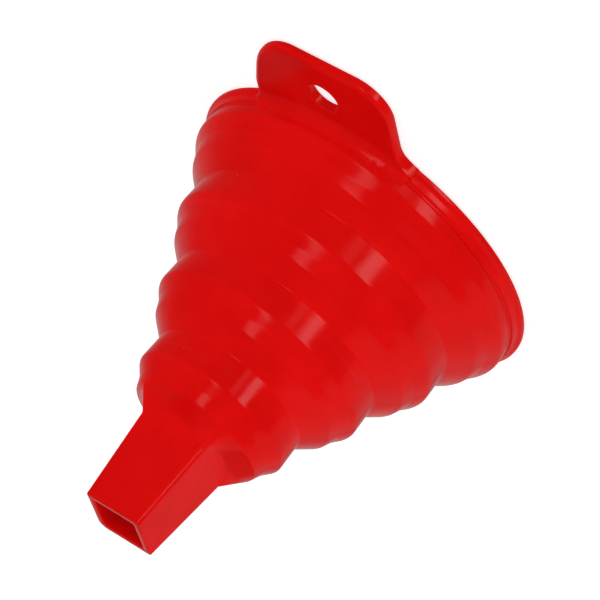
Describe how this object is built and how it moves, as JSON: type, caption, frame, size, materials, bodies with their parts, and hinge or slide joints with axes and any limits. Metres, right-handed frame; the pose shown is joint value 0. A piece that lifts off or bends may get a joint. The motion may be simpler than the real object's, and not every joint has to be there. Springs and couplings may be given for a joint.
{
  "type": "collapsible funnel",
  "caption": "Soft collapsible funnel with a stepped bellows cone, a square tapered spout and a flat hang tab, for guiding liquids and powders into narrow-necked bottles.",
  "frame": {"origin": "centre of the mouth, on the plane that the rim lip stands on", "axes": "+Z along the funnel's axis from the mouth to the spout, -Y towards the hang tab, +X to the right seen from the tab side"},
  "size_m": [0.08, 0.0972, 0.0814],
  "materials": {
    "silicone": "satin moulded silicone rubber"
  },
  "bodies": {
    "rim_tier": {"rim_lip": "silicone", "hang_tab": "silicone", "band_1": "silicone", "shoulder_1": "silicone", "flank_1": "silicone", "web_1": "silicone"},
    "tier_2": {"band_2": "silicone", "shoulder_2": "silicone", "flank_2": "silicone", "web_2": "silicone"},
    "tier_3": {"band_3": "silicone", "shoulder_3": "silicone", "flank_3": "silicone", "web_3": "silicone"},
    "tier_4": {"band_4": "silicone", "shoulder_4": "silicone", "flank_4": "silicone", "web_4": "silicone"},
    "spout": {"spout_foot": "silicone", "spout_tube": "silicone"}
  },
  "joints": [
    {"name": "fold_1", "type": "slide", "parent": "rim_tier", "child": "tier_2", "axis": [0, 0, -1], "range_m": [0, 0.013]},
    {"name": "fold_2", "type": "slide", "parent": "tier_2", "child": "tier_3", "axis": [0, 0, -1], "range_m": [0, 0.0153]},
    {"name": "fold_3", "type": "slide", "parent": "tier_3", "child": "tier_4", "axis": [0, 0, -1], "range_m": [0, 0.0153]},
    {"name": "fold_4", "type": "slide", "parent": "tier_4", "child": "spout", "axis": [0, 0, -1], "range_m": [0, 0.0153]}
  ]
}
